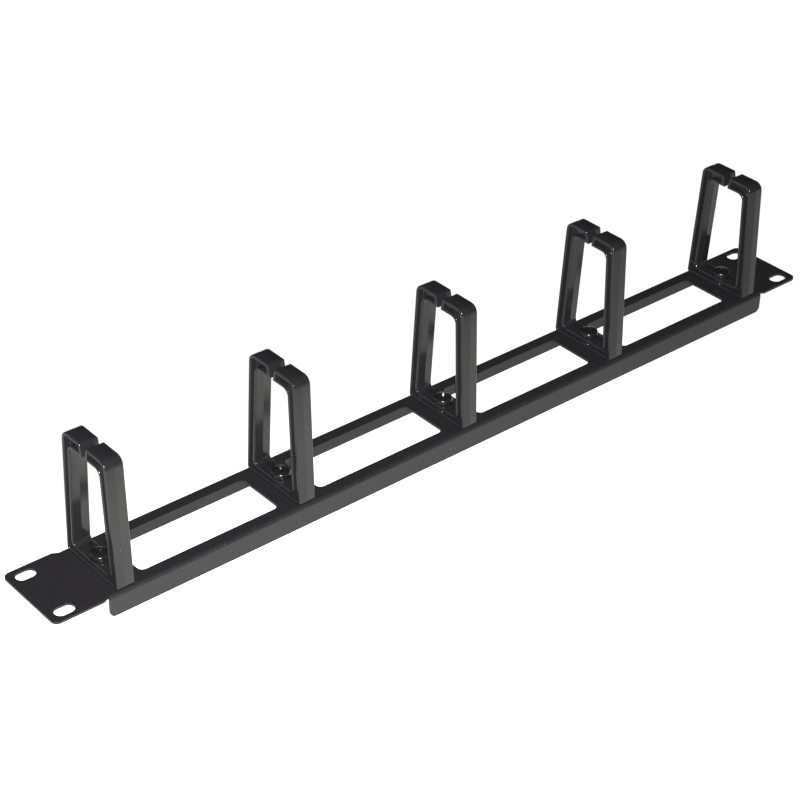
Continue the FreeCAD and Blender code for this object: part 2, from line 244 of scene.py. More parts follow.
@dataclass
class CableRing:
    """Moulded ring of I section: a profile carried round a tapered outline, open at a V notch."""

    foot_half: float = 20.5
    crown_half: float = 17.1
    height: float = 67.0
    half_depth: float = 4.75
    leg_wall: float = 5.9
    foot_wall: float = 5.2
    crown_wall: float = 6.8
    rim_wall: float = 1.7
    half_web: float = 1.25
    crown_radius: float = 4.5
    foot_radius: float = 2.0
    opening_crown_radius: float = 3.2
    opening_foot_radius: float = 2.2
    throat_half: float = 0.9
    mouth_half: float = 2.3
    mouth_lip: float = 0.8
    throat_lip: float = 0.5
    side_lip: float = 0.3
    boss_radius: float = 4.5
    hole_radius: float = 2.65
    edge_radius: float = 0.7
    groove_edge: float = 0.45
    groove_fillet: float = 0.5
    draft_degrees: float = 1.5
    least_radius: float = 0.3
    seam_height: float = 0.03
    seam_half: float = 0.14
    cheek_step: float = 0.03
    boss_reach: float = 0.5
    hole_overrun: float = 1.0
    hole_columns: int = 48
    arc_steps: int = 9
    leg_steps: int = 6
    lip_steps: int = 5
    edge_steps: int = 4
    groove_steps: int = 3
    boss_stations: int = 9
    bar_stations: int = 6
    base_stations: int = 5

    def leg_slope(self) -> float:
        """How far a leg leans inwards for each millimetre of height."""
        return (self.foot_half - self.crown_half) / self.height

    def opening_top(self) -> float:
        """Height of the top of the opening above the foot."""
        return self.height - self.crown_wall

    def notch_face(self, height: np.ndarray) -> np.ndarray:
        """Half width of the notch at a height: a straight line from throat to mouth."""
        rise = (height - self.opening_top()) / self.crown_wall
        return self.throat_half + (self.mouth_half - self.throat_half) * rise

    def corners(self, inner: bool,
                offset: float) -> tuple[np.ndarray, np.ndarray, float, float]:
        """Crown and foot corner of an outline, with their radii.

        Args:
            inner: the opening's outline, and otherwise the outer one.
            offset: how far the outline is moved into the wall.

        Returns:
            Crown corner, foot corner, crown radius and foot radius.
        """
        slope = self.leg_slope()
        if inner:
            top, low = self.opening_top() + offset, self.foot_wall - offset
            inset = self.leg_wall - offset
            radii = (self.opening_crown_radius + offset, self.opening_foot_radius + offset)
        else:
            top, low, inset = self.height - offset, offset, offset
            radii = (self.crown_radius - offset,
                     max(self.foot_radius - offset, self.least_radius))
        crown = np.array([self.foot_half - slope * top - inset, top])
        foot = np.array([self.foot_half - slope * low - inset, low])
        return crown, foot, radii[0], radii[1]

    @staticmethod
    def corner_arc(corner: np.ndarray, into: np.ndarray, out: np.ndarray, radius: float,
                   steps: int) -> tuple[np.ndarray, np.ndarray]:
        """Arc that is tangent to both sides of a corner and turns to the right.

        A point is the centre plus the start radius turned by a share of the corner's angle.

        Args:
            corner: where the two sides would meet.
            into: unit direction of the side that comes in.
            out: unit direction of the side that goes out.
            radius: radius of the arc.
            steps: steps along the arc.

        Returns:
            Points of the arc and the unit directions from them to its centre.
        """
        turn = math.acos(float(np.clip(into @ out, -1.0, 1.0)))
        start = corner - into * radius * math.tan(turn / 2.0)
        centre = start + np.array([into[1], -into[0]]) * radius
        angle = np.linspace(0.0, turn, steps + 1)[:, None]
        arm = start - centre
        turned = np.concatenate([arm[0] * np.cos(angle) + arm[1] * np.sin(angle),
                                 -arm[0] * np.sin(angle) + arm[1] * np.cos(angle)], axis=1)
        return centre + turned, -turned / radius

    def foot_stations(self) -> np.ndarray:
        """Places across the foot, from beside the boss to the middle, close where it curves."""
        edge = math.acos(self.half_web / self.boss_radius)
        return self.boss_radius * np.sin(np.linspace(edge, 0.0, self.boss_stations))

    def notch_stations(self, lip: float) -> np.ndarray:
        """Distances from the notch face: round its lip, then over the cheek that closes it.

        Args:
            lip: radius of the lip.

        Returns:
            The distances, in order.
        """
        rounded = lip * (1.0 - np.cos(quarter(self.lip_steps)))
        cheek = np.array([self.rim_wall - self.cheek_step, self.rim_wall + self.cheek_step])
        return np.concatenate([rounded, cheek])

    def half_outline(self, inner: bool, offset: float, lip: float) -> tuple[np.ndarray, np.ndarray]:
        """Right half of an outline, from the notch over the crown and down to the foot's middle.

        Args:
            inner: the opening's outline, and otherwise the outer one.
            offset: how far the outline is moved into the wall.
            lip: radius of the notch's lip on this outline.

        Returns:
            Points (y, z) and unit directions towards the middle of the ring.
        """
        crown, foot, crown_radius, foot_radius = self.corners(inner, offset)
        right = np.array([1.0, 0.0])
        down = (foot - crown) / np.linalg.norm(foot - crown)
        crown_arc, crown_in = self.corner_arc(crown, right, down, crown_radius, self.arc_steps)
        foot_arc, foot_in = self.corner_arc(foot, down, -right, foot_radius, self.arc_steps)
        near = self.notch_face(crown[1]) + self.notch_stations(lip)
        bar = np.concatenate([near, np.linspace(near[-1], crown_arc[0, 0],
                                                self.bar_stations)[1:-1]])
        top = np.stack([bar, np.full_like(bar, crown[1])], axis=1)
        share = np.linspace(0.0, 1.0, self.leg_steps + 2)[1:-1, None]
        leg = crown_arc[-1] + (foot_arc[0] - crown_arc[-1]) * share
        boss = self.foot_stations()
        outer = np.linspace(foot_arc[-1, 0], boss[0], self.base_stations)[1:-1]
        base = np.concatenate([outer, boss])
        floor = np.stack([base, np.full_like(base, foot[1])], axis=1)
        towards = [np.tile([0.0, -1.0], (len(top), 1)), crown_in,
                   np.tile([down[1], -down[0]], (len(leg), 1)), foot_in,
                   np.tile([0.0, 1.0], (len(floor), 1))]
        return np.concatenate([top, crown_arc, leg, foot_arc, floor]), np.concatenate(towards)

    def web_depth(self, outline: np.ndarray) -> np.ndarray:
        """Half thickness of the web along half an outline.

        It is the web's own, swells to the boss's circle across the foot, and is the full depth
        inside the cheek beside the notch.

        Args:
            outline: points (y, z) of half an outline.

        Returns:
            The half thickness at each point.
        """
        across = outline[:, 0]
        circle = np.sqrt(np.maximum(self.boss_radius ** 2 - across ** 2, 0.0))
        on_foot = outline[:, 1] < self.foot_wall + self.boss_reach
        depth = np.where(on_foot, np.maximum(circle, self.half_web), self.half_web)
        cheek = len(self.notch_stations(0.0)) - 1
        depth[:cheek] = self.half_depth
        return depth

    def strand(self, inner: bool, offset: float, depth: np.ndarray | float,
               facing: tuple[float, float], sink: np.ndarray | float = 0.0) -> np.ndarray:
        """One line of the section, carried round the ring and rounded where it meets the notch.

        Near the notch a point at an angle a round the lip sits r (1 - cos a) from the notch face
        and r (1 - sin a) below the surface.

        Args:
            inner: the line belongs to the opening's outline.
            offset: how far the outline is moved into the wall.
            depth: distance from the middle plane of the ring, all along or at each station.
            facing: share of the surface's normal across the wall and along the depth.
            sink: further distance into the wall at each station.

        Returns:
            The strand, from one side of the notch round to the other.
        """
        face_lip = self.throat_lip if inner else self.mouth_lip
        lip = face_lip * facing[0] ** 2 + self.side_lip * facing[1] ** 2
        outline, towards = self.half_outline(inner, offset, lip)
        into_wall = towards * (-1.0 if inner else 1.0)
        shaped = outline + into_wall * np.reshape(sink * np.ones(len(outline)), (-1, 1))
        x = depth * np.ones(len(outline))
        steps = quarter(self.lip_steps)
        below = lip * (1.0 - np.sin(steps))
        count = len(steps)
        shaped[:count] += into_wall[:count] * (below * facing[0])[:, None]
        x[:count] = x[:count] - below * facing[1]
        shaped[:count, 0] = self.notch_face(shaped[:count, 1]) + lip * (1.0 - np.cos(steps))
        half = np.stack([x, shaped[:, 0], shaped[:, 1]], axis=1)
        other = half[-2::-1] * np.array([1.0, -1.0, 1.0])
        return np.concatenate([half, other])

    def half_section(self) -> list[np.ndarray]:
        """Strands of the +X half of the section.

        Returns:
            The strands, from the outer seam over rim, groove and web to the inner seam.
        """
        edge, groove, rim = self.edge_radius, self.groove_edge, self.rim_wall
        deep = self.half_depth
        draft = math.tan(math.radians(self.draft_degrees))
        strands = [self.strand(False, -self.seam_height, 0.0, ACROSS_WALL),
                   self.strand(False, 0.0, self.seam_half, ACROSS_WALL)]
        for inner in (False, True):
            lean = draft * deep if inner else 0.0
            rows = []
            for angle in quarter(self.edge_steps):
                rows.append(self.strand(inner, lean + edge * (1.0 - math.cos(angle)),
                                        deep - edge * (1.0 - math.sin(angle)),
                                        (math.cos(angle), math.sin(angle))))
            web = self.web_depth(self.half_outline(inner, rim, self.side_lip)[0])
            room = deep - web
            small = np.minimum(groove, 0.5 * room)
            large = np.minimum(self.groove_fillet, 0.5 * room)
            for angle in quarter(self.groove_steps):
                rows.append(self.strand(inner, rim, deep - small * (1.0 - math.cos(angle)),
                                        ALONG_DEPTH, sink=-small * (1.0 - math.sin(angle))))
            for angle in quarter(self.edge_steps):
                rows.append(self.strand(inner, rim, web + large * (1.0 - math.sin(angle)),
                                        ALONG_DEPTH, sink=large * (1.0 - math.cos(angle))))
            strands += rows[::-1] if inner else rows
        strands.append(self.strand(True, draft * self.seam_half, self.seam_half, ACROSS_WALL))
        strands.append(self.strand(True, -self.seam_height, 0.0, ACROSS_WALL))
        return strands

    def build(self) -> bpy.types.Mesh:
        """Mesh of one ring about its own foot, closed at the notch and with its hole cut.

        Returns:
            The ring's mesh, standing on Z = 0.
        """
        half = self.half_section()
        other = [points * np.array([-1.0, 1.0, 1.0]) for points in half[-2:0:-1]]
        loop = np.stack(half + other)
        rows, columns = loop.shape[:2]
        faces = grid_faces(rows, columns, True, False).tolist()
        start = np.arange(rows) * columns
        faces.append(start.tolist())
        faces.append((start + columns - 1)[::-1].tolist())
        mesh = mesh_from("ring_surface", loop.reshape(-1, 3), faces)
        return self.with_hole(mesh)

    def with_hole(self, mesh: bpy.types.Mesh) -> bpy.types.Mesh:
        """The ring's mesh with its screw hole cut down through the boss.

        Args:
            mesh: the closed ring.

        Returns:
            The ring with its hole.
        """
        columns = self.hole_columns
        ends = [around(self.hole_radius, full_turn(columns), height)
                for height in (-self.hole_overrun, self.foot_wall + self.hole_overrun)]
        sides = grid_faces(2, columns, False, True).tolist()
        sides += [list(range(columns)), list(range(2 * columns - 1, columns - 1, -1))]
        tool = mesh_from("hole_cutter", np.concatenate(ends), sides)
        cutter, blank = in_scene("hole_cutter", tool), in_scene("ring_blank", mesh)
        cut = blank.modifiers.new("hole", "BOOLEAN")
        cut.operation, cut.solver, cut.object = "DIFFERENCE", "EXACT", cutter
        bpy.context.view_layer.update()
        shown = blank.evaluated_get(bpy.context.evaluated_depsgraph_get())
        result = bpy.data.meshes.new_from_object(shown)
        for item in (cutter, blank):
            bpy.data.objects.remove(item)
        return result

    def place_all(self, material: bpy.types.Material) -> None:
        """One ring on each ring solid."""
        place_row(self.build(), material, "cable_ring", "ring_moulding")


# ------------------------------------------------------------------------- fixings


@dataclass
class PanHeadScrew:
    """Pan-head screw with a cross recess and a rolled thread."""

    head_radius: float = 4.75
    head_height: float = 3.7
    side_height: float = 1.5
    shoulder_radius: float = 0.8
    crown_drop: float = 1.1
    arm_half_width: float = 0.42
    arm_half_span: float = 2.3
    wall_run: float = 0.1
    tip_run: float = 1.3
    recess_depth: float = 2.0
    shank_radius: float = 2.5
    root_depth: float = 0.42
    pitch: float = 0.8
    length: float = 12.0
    tip_chamfer: float = 0.6
    seat_round: float = 0.25
    seat_corner: float = 0.08
    neck_round: float = 0.2
    thread_start: float = 0.4
    thread_fade: float = 1.5
    root_flat: float = 1.15
    flank_slope: float = 4.0
    pitch_rows: int = 6
    dome_rows: int = 5
    shoulder_rows: int = 6
    smooth_angle: float = 38.0
    inner_lines: tuple[float, ...] = (0.15, 0.35)
    outer_lines: tuple[float, ...] = (0.9, 1.2, 1.55, 1.9, 2.2, 2.3, 2.45, 2.7)
    turns: tuple[float, ...] = (30.0, 71.0, 46.0, 8.0, 56.0)

    def crown(self, radius: np.ndarray) -> np.ndarray:
        """Height of the domed top at a radius: a flat parabola from its middle outwards."""
        return self.head_height - self.crown_drop * (radius / self.head_radius) ** 2

    def recess(self, x: np.ndarray, y: np.ndarray) -> np.ndarray:
        """Depth of the cross recess at a point.

        It is full depth in the middle, comes up along each arm towards its end, and has steep
        walls beside the arm.

        Args:
            x: places along one arm.
            y: places along the other arm.

        Returns:
            The depth at each point.
        """
        major, minor = np.maximum(abs(x), abs(y)), np.minimum(abs(x), abs(y))
        along = np.clip((self.arm_half_span - major) / self.tip_run, 0.0, 1.0)
        beside = np.clip((self.arm_half_width - minor) / self.wall_run + 0.5, 0.0, 1.0)
        return self.recess_depth * along * beside

    def head_patch(self) -> tuple[np.ndarray, np.ndarray, np.ndarray]:
        """Middle of the head as a square grid whose lines follow the arms of the cross.

        Returns:
            Points, quads and the numbers of the boundary points in order.
        """
        width, wall = self.arm_half_width, self.wall_run
        lines = np.array([*self.inner_lines, width - wall / 2, width, width + wall / 2,
                          *self.outer_lines])
        lines = np.concatenate([-lines[::-1], [0.0], lines])
        count = len(lines)
        x, y = np.meshgrid(lines, lines, indexing="ij")
        z = self.crown(np.hypot(x, y)) - self.recess(x, y)
        points = np.stack([x, y, z], axis=-1).reshape(-1, 3)
        index = np.arange(count * count).reshape(count, count)
        border = np.concatenate([index[-1, count // 2:], index[-2::-1, -1], index[0, -2::-1],
                                 index[1:, 0], index[-1, 1:count // 2]])
        return points, grid_faces(count, count, False, False), border

    def body_rows(self, border: np.ndarray) -> np.ndarray:
        """Rows of points from the edge of the square patch out, down the head and the shank.

        Out to the shoulder a point moves straight from the square's edge to the round shoulder.
        The thread's radius falls and rises once in each pitch, and turns with the angle.

        Args:
            border: boundary points of the patch, once round.

        Returns:
            Rows of points, the first next to the patch and the last at the tip.
        """
        angle = np.arctan2(border[:, 1], border[:, 0])
        flat = self.head_radius - self.shoulder_radius
        rim = np.stack([flat * np.cos(angle), flat * np.sin(angle)], axis=1)
        rows = []
        for share in np.linspace(0.0, 1.0, self.dome_rows + 1)[1:]:
            spot = border[:, :2] * (1.0 - share) + rim * share
            rows.append(np.column_stack([spot, self.crown(np.hypot(spot[:, 0], spot[:, 1]))]))
        shoulder_top = float(self.crown(np.array(flat)))
        drop = shoulder_top - self.side_height
        for turn in quarter(self.shoulder_rows)[1:]:
            radius = flat + self.shoulder_radius * math.sin(turn)
            rows.append(around(radius, angle, self.side_height + drop * math.cos(turn)))
        for radius, height in ((self.head_radius, self.seat_round),
                               (self.head_radius - self.seat_corner, self.seat_corner),
                               (self.head_radius - self.seat_round, 0.0),
                               (self.shank_radius + self.neck_round, 0.0),
                               (self.shank_radius, -self.neck_round)):
            rows.append(around(radius, angle, height))
        for height in np.arange(-self.thread_start, -self.length + self.tip_chamfer,
                                -self.pitch / self.pitch_rows):
            phase = (height / self.pitch - angle / (2.0 * np.pi)) % 1.0
            groove = self.root_depth * np.clip(
                self.root_flat - abs(phase - 0.5) * self.flank_slope, 0.0, 1.0)
            fade = min(1.0, (-height - self.neck_round) / self.thread_fade)
            rows.append(around(self.shank_radius - groove * fade, angle, height))
        rows.append(around(self.shank_radius - self.root_depth, angle,
                           -self.length + self.tip_chamfer * 0.5))
        rows.append(around(self.shank_radius - self.tip_chamfer, angle, -self.length))
        return np.stack(rows)

    def build(self) -> bpy.types.Mesh:
        """Mesh of one screw about its seat.

        Returns:
            The screw's mesh, with the seat of its head on Z = 0.
        """
        patch, faces, border = self.head_patch()
        rows = self.body_rows(patch[border])
        count, columns = rows.shape[:2]
        grid = grid_faces(count, columns, False, True) + len(patch)
        first = np.arange(columns)
        following = (first + 1) % columns
        seam = np.stack([border[first], border[following], len(patch) + following,
                         len(patch) + first], axis=1)
        tip = (len(patch) + (count - 1) * columns + first).tolist()
        every = faces.tolist() + grid.tolist() + seam.tolist() + [tip]
        return mesh_from("screw_surface", np.concatenate([patch, rows.reshape(-1, 3)]), every)

    def place_all(self, material: bpy.types.Material) -> None:
        """One screw on each screw solid, each turned to its own angle as driven home.

        Args:
            material: the screws' finish.
        """
        mesh = self.build()
        for number, turn in zip(RING_NUMBERS, self.turns):
            node, name = f"ring_screw_{number}", f"pan_head_screw_{number}"
            low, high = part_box(node)
            seat = ((low.x + high.x) / 2.0, 0.0, high.z - self.head_height * MM)
            driven = Matrix.Translation(seat) @ Matrix.Rotation(math.radians(turn), 4, "Z")
            piece(name, moved_copy(mesh, name, driven), material, node,
                  self.smooth_angle)


@dataclass
class PlainWasher:
    """Stamped washer with slightly rounded edges."""

    outer_radius: float = 5.0
    bore_radius: float = 2.65
    thickness: float = 1.0
    edge: float = 0.15
    edge_steps: int = 3
    columns: int = 72

    def build(self) -> bpy.types.Mesh:
        """Mesh of one washer: a rounded rectangle turned about the axis.

        Returns:
            The washer's mesh, standing on Z = 0.
        """
        corners = ((self.bore_radius, 0.0, 180.0), (self.outer_radius, 0.0, 270.0),
                   (self.outer_radius, self.thickness, 0.0),
                   (self.bore_radius, self.thickness, 90.0))
        parts = []
        for radius, height, start in corners:
            angle = np.radians(start) + quarter(self.edge_steps)
            middle_r = radius + self.edge * (1.0 if radius == self.bore_radius else -1.0)
            middle_z = height + self.edge * (1.0 if height == 0.0 else -1.0)
            parts.append(np.stack([middle_r + self.edge * np.cos(angle),
                                   middle_z + self.edge * np.sin(angle)], axis=1))
        points, faces = turned_surface(np.concatenate(parts), self.columns)
        return mesh_from("washer_surface", points, faces)

    def place_all(self, material: bpy.types.Material) -> None:
        """One washer on each washer solid."""
        place_row(self.build(), material, "ring_washer", "plain_washer")


@dataclass
class HexNut:
    """Hexagon nut, chamfered at both ends, with its thread's crests."""

    half_flats: float = 4.0
    height: float = 4.0
    face_circle: float = 3.8
    chamfer_degrees: float = 30.0
    bore_radius: float = 2.52
    bore_chamfer: float = 0.3
    chamfer_reach: float = 0.5
    chamfer_rows: int = 8
    columns: int = 96
    smooth_angle: float = 18.0

    def build(self) -> bpy.types.Mesh:
        """Mesh of one nut.

        At an angle the side lies at half the width over flats divided by the cosine of the angle
        from the nearest flat's middle, or on the chamfer's cone where that is nearer the axis.

        Returns:
            The nut's mesh, standing on Z = 0.
        """
        angle = full_turn(self.columns)
        hexagon = self.half_flats / np.cos(angle % (np.pi / 3.0) - np.pi / 6.0)
        slope = 1.0 / math.tan(math.radians(self.chamfer_degrees))
        ends = np.linspace(0.0, self.chamfer_reach, self.chamfer_rows)
        heights = np.concatenate([ends, self.height - ends[::-1]])
        from_end = np.minimum(heights, self.height - heights)[:, None]
        side = np.minimum(hexagon[None, :], self.face_circle + from_end * slope)
        bore = ((self.bore_radius + self.bore_chamfer, self.height),
                (self.bore_radius, self.height - self.bore_chamfer),
                (self.bore_radius, self.bore_chamfer),
                (self.bore_radius + self.bore_chamfer, 0.0))
        inside = np.repeat([[r] for r, _ in bore], self.columns, axis=1)
        radius = np.concatenate([side, inside])
        level = np.concatenate([heights, [z for _, z in bore]])[:, None]
        return mesh_from("nut_surface", around(radius, angle, level).reshape(-1, 3),
                         grid_faces(len(level), self.columns, True, True))

    def place_all(self, material: bpy.types.Material) -> None:
        """One nut on each nut solid."""
        place_row(self.build(), material, "ring_nut", "hex_nut", self.smooth_angle)


# --------------------------------------------------------------------------- panel


@dataclass
class RackPanel:
    """Folded sheet whose cut edges are rounded by their thick coat."""

    coat_edge: float = 0.34
    segments: int = 3
    merge_reach: float = 1e-6
    flat_degrees: float = 0.8
    edge_degrees: float = 40.0

    def place(self, material: bpy.types.Material) -> bpy.types.Object:
        """The panel's solid as a merged copy, with every cut edge rounded.

        Args:
            material: the powder coat.

        Returns:
            The panel's object.
        """
        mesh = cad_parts["rack_panel"].data.copy()
        mesh.name = "panel_sheet"
        worker = bmesh.new()
        worker.from_mesh(mesh)
        bmesh.ops.remove_doubles(worker, verts=worker.verts, dist=self.merge_reach)
        bmesh.ops.dissolve_limit(worker, angle_limit=math.radians(self.flat_degrees),
                                 verts=worker.verts, edges=worker.edges)
        worker.to_mesh(mesh)
        worker.free()
        panel = piece("panel_sheet", mesh, material, "rack_panel")
        bevel = panel.modifiers.new("coated_edges", "BEVEL")
        bevel.width = self.coat_edge * MM
        bevel.segments = self.segments
        bevel.limit_method = "ANGLE"
        bevel.angle_limit = math.radians(self.edge_degrees)
        bevel.harden_normals = True
        return panel


# ------------------------------------------------------------------------- finishes


class NodeTree:
    """Small helper that adds and joins shader nodes in a material or a node group."""

    def __init__(self, tree: bpy.types.NodeTree) -> None:
        """Keep the tree that nodes are added to."""
        self.tree = tree

    def add(self, kind: str, **values: object) -> bpy.types.Node:
        """New node with its properties and inputs set.

        Args:
            kind: node type without its "ShaderNode" prefix.
            **values: properties by their names, then inputs by theirs, with an underscore for
                a space. An output is joined to the input, and anything else is its value.

        Returns:
            The node.
        """
        node = self.tree.nodes.new(kind if kind.startswith("Node") else "ShaderNode" + kind)
        for name, value in values.items():
            if hasattr(node, name):
                setattr(node, name, value)
            else:
                self.feed(node.inputs[name.replace("_", " ")], value)
        return node

    def feed(self, target: bpy.types.NodeSocket, value: object) -> None:
        """Join an output to an input, or set the input's value.

        Args:
            target: the input.
            value: an output of another node, or a plain value.
        """
        if isinstance(value, bpy.types.NodeSocket):
            self.tree.links.new(value, target)
        else:
            target.default_value = value

    def maths(self, operation: str, *values: bpy.types.NodeSocket | float) -> bpy.types.NodeSocket:
        """New maths node.

        Args:
            operation: its operation.
            *values: what goes in, each an output to join or a plain number.

        Returns:
            The node's output.
        """
        node = self.add("Math", operation=operation)
        for target, value in zip(node.inputs, values):
            self.feed(target, value)
        return node.outputs["Value"]


def blank_material(name: str) -> tuple[bpy.types.Material, NodeTree]:
    """New material without nodes.

    Args:
        name: name of the material.

    Returns:
        The material and the helper that fills its tree.
    """
    made = bpy.data.materials.new(name)
    made.use_nodes = True
    made.node_tree.nodes.clear()
    return made, NodeTree(made.node_tree)


@dataclass(frozen=True)
class Effect:
    """Shader node group with named inputs, built once and used by several finishes."""

    name: str
    inputs: tuple[tuple[str, float], ...]
    outputs: tuple[str, ...]
    fill: Callable[[NodeTree, bpy.types.Node, bpy.types.Node], None] = field(repr=False)

    def group(self) -> bpy.types.NodeTree:
        """The node group, made at its first use.

        Returns:
            The group, with its named inputs and outputs.
        """
        made = bpy.data.node_groups.get(self.name)
        if made is not None:
            return made
        made = bpy.data.node_groups.new(self.name, "ShaderNodeTree")
        made.interface.new_socket("Vector", in_out="INPUT", socket_type="NodeSocketVector")
        for name, value in self.inputs:
            socket = made.interface.new_socket(name, in_out="INPUT",
                                               socket_type="NodeSocketFloat")
            socket.default_value = value
        for name in self.outputs:
            made.interface.new_socket(name, in_out="OUTPUT", socket_type="NodeSocketFloat")
        tree = NodeTree(made)
        entry, leave = tree.add("NodeGroupInput"), tree.add("NodeGroupOutput")
        self.fill(tree, entry, leave)
        return made

    def use(self, tree: NodeTree, vector: bpy.types.NodeSocket,
            **values: float) -> bpy.types.Node:
        """Place the group in a material with its own values.

        Args:
            tree: the material's tree.
            vector: position on the piece.
            **values: value of each input, with an underscore for a space in its name.

        Returns:
            The group's node.
        """
        return tree.add("Group", node_tree=self.group(), Vector=vector, **values)


def fill_grain(tree: NodeTree, entry: bpy.types.Node, leave: bpy.types.Node) -> None:
    """Surface texture: coarse ripple plus fine grain, as a height from 0 to 1.

    Args:
        tree: the group's tree.
        entry: node with the group's inputs.
        leave: node with the group's outputs.
    """
    given = entry.outputs
    ripple = tree.add("TexNoise", Detail=2.0, Roughness=0.5, Vector=given["Vector"],
                      Scale=given["Ripple Scale"])
    grain = tree.add("TexNoise", Detail=3.0, Roughness=0.6, Vector=given["Vector"],
                     Scale=given["Grain Scale"])
    blend = tree.add("Mix", data_type="FLOAT", Factor=given["Grain Share"],
                     A=ripple.outputs["Fac"], B=grain.outputs["Fac"])
    tree.feed(leave.inputs["Height"], blend.outputs["Result"])


def fill_dust(tree: NodeTree, entry: bpy.types.Node, leave: bpy.types.Node) -> None:
    """Scattered small specks: cell centres within a radius, kept only in some cells.

    Args:
        tree: the group's tree.
        entry: node with the group's inputs.
        leave: node with the group's outputs.
    """
    given = entry.outputs
    cells = tree.add("TexVoronoi", Randomness=1.0, Vector=given["Vector"], Scale=given["Scale"])
    split = tree.add("SeparateColor", Color=cells.outputs["Color"])
    near = tree.maths("LESS_THAN", cells.outputs["Distance"], given["Size"])
    kept = tree.maths("LESS_THAN", split.outputs["Red"], given["Share"])
    tree.feed(leave.inputs["Mask"], tree.maths("MULTIPLY", near, kept))


def fill_smudge(tree: NodeTree, entry: bpy.types.Node, leave: bpy.types.Node) -> None:
    """Soft uneven patches, as from handling, mapped between two values.

    Args:
        tree: the group's tree.
        entry: node with the group's inputs.
        leave: node with the group's outputs.
    """
    given = entry.outputs
    cloud = tree.add("TexNoise", Detail=4.0, Roughness=0.62, Distortion=0.6,
                     Vector=given["Vector"], Scale=given["Scale"])
    spread = tree.add("MapRange", From_Min=0.35, From_Max=0.68, Value=cloud.outputs["Fac"],
                      To_Min=given["Low"], To_Max=given["High"])
    tree.feed(leave.inputs["Value"], spread.outputs["Result"])


GRAIN = Effect(name="surface_grain", outputs=("Height",), fill=fill_grain,
               inputs=(("Ripple Scale", 400.0), ("Grain Scale", 2500.0), ("Grain Share", 0.4)))
DUST = Effect(name="dust_specks", outputs=("Mask",), fill=fill_dust,
              inputs=(("Scale", 300.0), ("Size", 0.08), ("Share", 0.1)))
SMUDGE = Effect(name="handling_smudge", outputs=("Value",), fill=fill_smudge,
                inputs=(("Scale", 40.0), ("Low", 0.2), ("High", 0.3)))
DUST_COLOUR = (0.090, 0.088, 0.082)
BLACK_MIRROR_TINT = (0.99, 1.02, 0.91)


@dataclass(frozen=True)
class Finish:
    """A finish: base colour and its variation, gloss, relief and dust."""

    name: str
    colour: tuple[float, float, float]
    worn_colour: tuple[float, float, float]
    metallic: float
    gloss: tuple[float, float]
    smudge_scale: float
    ripple_scale: float
    grain_scale: float
    grain_share: float
    relief: float
    relief_mm: float
    dust_scale: float
    dust_size: float
    dust_share: float
    specular: float = 0.5
    mirror_tint: tuple[float, float, float] = (1.0, 1.0, 1.0)

    def material(self) -> bpy.types.Material:
        """Node material of this finish, on Object coordinates.

        Returns:
            The material.
        """
        made, tree = blank_material(self.name)
        place = tree.add("TexCoord").outputs["Object"]
        smudge = SMUDGE.use(tree, place, Scale=self.smudge_scale, Low=self.gloss[0],
                            High=self.gloss[1])
        grain = GRAIN.use(tree, place, Ripple_Scale=self.ripple_scale,
                          Grain_Scale=self.grain_scale, Grain_Share=self.grain_share)
        specks = DUST.use(tree, place, Scale=self.dust_scale, Size=self.dust_size,
                          Share=self.dust_share)
        bump = tree.add("Bump", Strength=self.relief, Distance=self.relief_mm * MM,
                        Height=grain.outputs["Height"])
        shade = tree.add("Mix", data_type="RGBA", Factor=grain.outputs["Height"],
                         A=(*self.colour, 1.0), B=(*self.worn_colour, 1.0))
        dusty = tree.add("Mix", data_type="RGBA", Factor=specks.outputs["Mask"],
                         A=shade.outputs["Result"], B=(*DUST_COLOUR, 1.0))
        shader = tree.add("BsdfPrincipled", Metallic=self.metallic,
                          Specular_IOR_Level=self.specular,
                          Specular_Tint=(*self.mirror_tint, 1.0),
                          Base_Color=dusty.outputs["Result"],
                          Roughness=smudge.outputs["Value"], Normal=bump.outputs["Normal"])
        tree.add("OutputMaterial", Surface=shader.outputs["BSDF"])
        return made


POWDER_COAT = Finish(
    name="black_powder_coat", colour=(0.0025, 0.0020, 0.0037),
    worn_colour=(0.0125, 0.0120, 0.0138), metallic=0.0, gloss=(0.34, 0.42), smudge_scale=22.0,
    ripple_scale=700.0, grain_scale=2600.0, grain_share=0.45, relief=0.8, relief_mm=0.2,
    dust_scale=260.0, dust_size=0.045, dust_share=0.05, specular=0.20,
    mirror_tint=BLACK_MIRROR_TINT)
RING_PLASTIC = Finish(
    name="gloss_black_plastic", colour=(0.0058, 0.0055, 0.0065),
    worn_colour=(0.0078, 0.0075, 0.0088), metallic=0.0, gloss=(0.10, 0.20), smudge_scale=60.0,
    ripple_scale=90.0, grain_scale=1800.0, grain_share=0.12, relief=0.12, relief_mm=0.05,
    dust_scale=240.0, dust_size=0.05, dust_share=0.08, specular=0.22,
    mirror_tint=BLACK_MIRROR_TINT)
BLACK_STEEL = Finish(
    name="black_plated_steel", colour=(0.0066, 0.0063, 0.0066),
    worn_colour=(0.0112, 0.0105, 0.0104), metallic=0.5, gloss=(0.20, 0.30), smudge_scale=260.0,
    ripple_scale=500.0, grain_scale=3000.0, grain_share=0.5, relief=0.3, relief_mm=0.03,
    dust_scale=500.0, dust_size=0.05, dust_share=0.05, specular=0.3)
ZINC_STEEL = Finish(
    name="bright_zinc", colour=(0.52, 0.53, 0.55), worn_colour=(0.64, 0.65, 0.66), metallic=1.0,
    gloss=(0.22, 0.38), smudge_scale=200.0, ripple_scale=500.0, grain_scale=3200.0,
    grain_share=0.5, relief=0.2, relief_mm=0.02, dust_scale=500.0, dust_size=0.05,
    dust_share=0.03)


# --------------------------------------------------------------------------- studio


